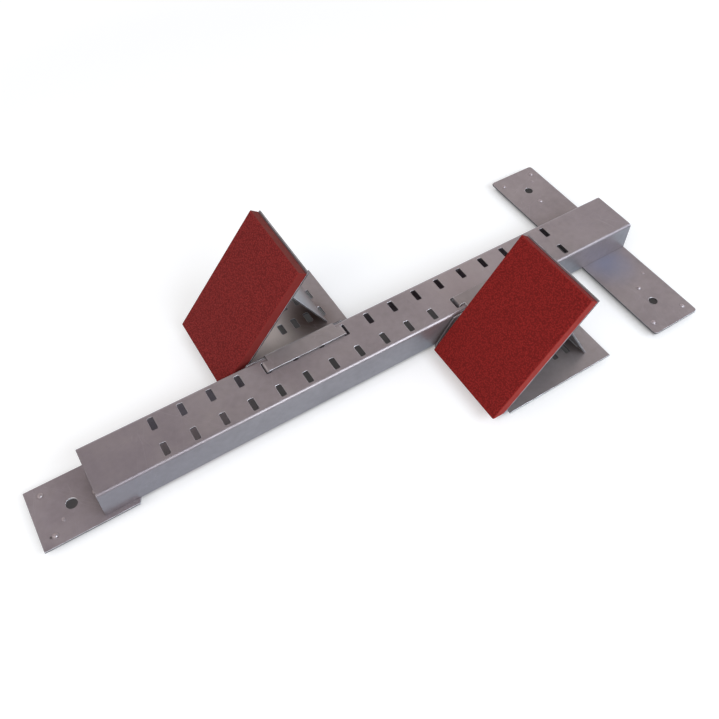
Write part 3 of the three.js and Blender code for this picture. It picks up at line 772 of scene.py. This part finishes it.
# %% Spin the riveted spikes
def spike_bm(low, high):
    """A small dome on a flat rim above the plate, a collar and a blunt cone below it."""
    centre = (low + high) / 2
    top, point, underside = high.z, low.z, 0.010
    rim, shank, collar = 0.0042, 0.0025, 0.0045
    dome = [(0.0, top), (0.0009, top - 0.00004), (0.0016, top - 0.00017),
            (0.0022, top - 0.00045), (0.0025, top - 0.0008), (0.0027, top - 0.00098),
            (0.0038, top - 0.00103), (rim, top - 0.00115)]
    stem = [(shank, underside + 0.003), (shank, underside), (0.0044, underside),
            (collar, underside - 0.0002), (collar, underside - 0.0013),
            (0.0043, underside - 0.0015), (0.0032, underside - 0.0016)]
    tip = [(0.0010, point + 0.0006), (0.0007, point + 0.00015), (0.0, point)]
    bm = spun_profile(dome + stem + tip, steps=32)
    bmesh.ops.translate(bm, verts=bm.verts, vec=(centre.x, centre.y, 0))
    return bm


for plate_part in ("front", "rear_right", "rear_left"):
    for number in (1, 2, 3):
        spike = f"{plate_part}_spike_{number}"
        finished_piece(spike + "_turned", spike_bm(*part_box(spike)), plated_rivet, "frame",
                       [spike])

# %% [markdown]
# A pin lies across the rail. It is spun upright and then turned, in its mesh, so that
# its object stays unturned. The head at one end is domed, and the far end is peened over
# into a flatter one.

# %% Spin the hinge and strut pins
def pin_bm(low, high):
    """A domed head, a thinner shank and a peened head, along Y."""
    centre = (low + high) / 2
    head = (high.x - low.x) / 2
    half_length = (high.y - low.y) / 2
    shank, head_height = 0.003, 0.0014
    domed = [(0.0, half_length), (0.0018, half_length - 0.0001),
             (head - 0.0009, half_length - 0.0005), (head - 0.0002, half_length - 0.0009),
             (head, half_length - 0.0012), (head, half_length - head_height),
             (shank, half_length - head_height)]
    peened = [(shank, head_height - half_length), (head, head_height - half_length),
              (head, 0.0007 - half_length), (head - 0.0005, 0.0002 - half_length),
              (head - 0.0012, -half_length), (0.0012, -half_length),
              (0.0006, 0.0002 - half_length), (0.0, 0.0002 - half_length)]
    bm = spun_profile(domed + peened, steps=36)
    bmesh.ops.rotate(bm, verts=bm.verts, cent=(0, 0, 0),
                     matrix=Matrix.Rotation(math.pi / 2, 3, "X"))
    bmesh.ops.translate(bm, verts=bm.verts, vec=centre)
    return bm


for side in ("right", "left"):
    for kind, body in (("hinge_pin", "carrier"), ("strut_pin", "pad")):
        pin = f"{side}_{kind}"
        finished_piece(pin + "_turned", pin_bm(*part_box(pin)), plated_pin, f"{side}_{body}",
                       [pin])

# %% [markdown]
# ## Weld beads
#
# A hand laid bead is a row of overlapping puddles, which shows as ripples. A bump map
# could draw them, but the beads are seen from the open ends of the rail, so they are
# modelled. The section of the bead is extruded in short steps, and each new section is
# swelled or drawn in about the corner that the bead fills.

# %% Lay the weld beads
def bead_bm(low, high, side):
    corner_y = high.y if side > 0 else low.y
    leg, ripples, ripple_depth, steps = 0.004, 20, 0.13, 100
    length = high.x - low.x
    bm = bmesh.new()
    outline = [(0.0, 0.0), (0.0, leg), (-0.0015, 0.0033), (-0.0026, 0.0024),
               (-0.0034, 0.0014), (-leg, 0.0)]
    section = bm.faces.new([bm.verts.new((low.x, side * y, z)) for y, z in outline])
    for step in range(1, steps + 1):
        grown = bmesh.ops.extrude_face_region(bm, geom=[section])["geom"]
        section = next(part for part in grown if isinstance(part, bmesh.types.BMFace))
        bmesh.ops.translate(bm, verts=section.verts, vec=(length / steps, 0, 0))
        phase = step * ripples / steps % 1
        swell = 1 - ripple_depth * phase ** 2
        for vert, (y, z) in zip(section.verts, outline):
            vert.co.y, vert.co.z = side * y * swell, z * swell
    bmesh.ops.holes_fill(bm, edges=bm.edges)
    bmesh.ops.recalc_face_normals(bm, faces=bm.faces)
    bmesh.ops.translate(bm, verts=bm.verts, vec=(0, corner_y, low.z))
    return bm


for rail_end in ("front", "rear"):
    for wall, outward in (("right", 1), ("left", -1)):
        weld = f"{rail_end}_{wall}_weld"
        finished_piece(weld + "_bead", bead_bm(*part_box(weld), outward), weld_metal, "frame",
                       [weld])

# %% [markdown]
# ## Drops of zinc
#
# When the dipped steel is drawn out of the bath, a few drops of zinc set on it. Three of
# them show in the picture as small pale spots on the plates. Each is a low dome. It could
# be cut from a ball, but a profile gives a drop that runs out thin at its rim, as a
# liquid does.

# %% Set the drops of zinc on the plates
plate_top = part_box("front_plate")[1].z
drop_places = ((-0.436, -0.015), (0.445, 0.159), (0.453, -0.095))
drop_profile = [(0.0, 0.0004), (0.0009, 0.00034), (0.0016, 0.00019), (0.0021, 0.00007),
                (0.0025, 0.0), (0.0022, -0.00002), (0.0, -0.00002)]
drop_stretch = (1.0, 1.2, 1.0)
for number, (x, y) in enumerate(drop_places, 1):
    drop = spun_profile(drop_profile, steps=28)
    bmesh.ops.scale(drop, verts=drop.verts, vec=drop_stretch)
    bmesh.ops.translate(drop, verts=drop.verts, vec=(x, y, plate_top))
    finished_piece(f"zinc_drop_{number}", drop, plated_rivet, "frame")

# %% [markdown]
# ## Rubber pads
#
# The face of each pad is dark red rubber, moulded with a fine pebbled grain that grips
# the spikes of a shoe. The sides are cut, so they are smoother, and they are painted
# lighter, as painted light from the lamp on that side. The grain fades out where the face
# rounds over into them. The upper side is dusty, because the pad leans back and dust lies
# on it. The right pad is a little duller and dustier than the left one, and its sides get
# less painted light, so each has its own tones.
#
# The grain is too fine to model: there are thousands of pebbles on a pad. A cell pattern
# drives the bump instead, and the same cells vary the colour a little, because the rubber
# between the pebbles holds dirt. Where the face is, the material reads from the direction
# that the surface faces, so the change into the side is as soft as the round itself.

# %% Recipe for the red rubber
pad_slope = math.radians(52)
pad_faces = Vector((-math.sin(pad_slope), 0.0, math.cos(pad_slope)))
pad_heads = Vector((math.cos(pad_slope), 0.0, math.sin(pad_slope)))
side_height = 0.6
valley_roughness, pebble_roughness = 0.95, 0.8


def pebbled_grain(tree, place):
    """1 on top of each pebble and 0 between them, with the rows a little out of line."""
    wander = add_node(tree, "ShaderNodeTexNoise", {
        "Vector": place, "Scale": 180.0, "Detail": 1.0}).outputs["Color"]
    moved = add_node(tree, "ShaderNodeMix", {"Factor": 0.0012, "A": place, "B": wander},
                     data_type="VECTOR").outputs["Result"]
    to_middle = add_node(tree, "ShaderNodeTexVoronoi", {
        "Vector": moved, "Scale": 460.0, "Randomness": 0.9}).outputs["Distance"]
    return remap(tree, to_middle, 0.15, 0.75, 1.0, 0.0, soft=True)


def red_rubber(name, face_tones, painted_light_side_tones, head_tone, dusty_tone):
    material, tree = new_material(name)
    place = add_node(tree, "ShaderNodeTexCoord").outputs["Object"]
    pebbles = pebbled_grain(tree, place)
    broad = use_group(tree, clouds, Vector=place, Size=11.0, Contrast=1.8)["Tone"]
    face = facing_share(tree, pad_faces, 0.45, 0.97, soft=True)
    head = facing_share(tree, pad_heads, 0.7, 0.98, soft=True)
    dusty = reckon(tree, "MULTIPLY", head, noise(tree, place, scale=70.0, detail=4.0))

    valley, low, high = (from_screen(*tone) for tone in face_tones)
    grained = blend_colour(tree, pebbles, valley, blend_colour(tree, broad, low, high))
    # The sides are painted lighter, as painted light from the lamp on that side.
    cut = blend_colour(tree, broad, *(from_screen(*tone) for tone in painted_light_side_tones))
    cut = blend_colour(tree, head, cut, from_screen(*head_tone))
    cut = blend_colour(tree, dusty, cut, from_screen(*dusty_tone))
    grain_height = blend_value(tree, face, side_height, pebbles)
    fine_grain = noise(tree, place, scale=900.0, detail=3.0)
    relief = bump(tree, grain_height, strength=0.8, distance=0.0005)
    relief = bump(tree, fine_grain, strength=0.5, distance=0.0001, below=relief)
    give_surface(tree, {
        "Base Color": blend_colour(tree, face, cut, grained),
        "Roughness": blend_value(tree, pebbles, valley_roughness, pebble_roughness),
        "Metallic": 0.0, "Specular IOR Level": 0.2, "Normal": relief})
    print(name, "made")
    return material


pad_rubber = {
    "right": red_rubber("red_rubber_right",
                        face_tones=((104, 27, 26), (132, 35, 33), (146, 42, 39)),
                        painted_light_side_tones=((118, 38, 35), (132, 46, 42)),
                        head_tone=(112, 40, 36), dusty_tone=(104, 57, 51)),
    "left": red_rubber("red_rubber_left",
                       face_tones=((110, 22, 20), (136, 28, 25), (150, 34, 31)),
                       painted_light_side_tones=((142, 45, 40), (158, 57, 50)),
                       head_tone=(116, 26, 22), dusty_tone=(108, 36, 32)),
}

# %% Finish the rubber pads
for side, rubber in pad_rubber.items():
    pad = f"{side}_rubber_pad"
    pad_bm = merged_copy(pad)
    round_sharp_edges(pad_bm, 0.0006)
    finished_piece(pad + "_rubber", pad_bm, rubber, f"{side}_pad", [pad])
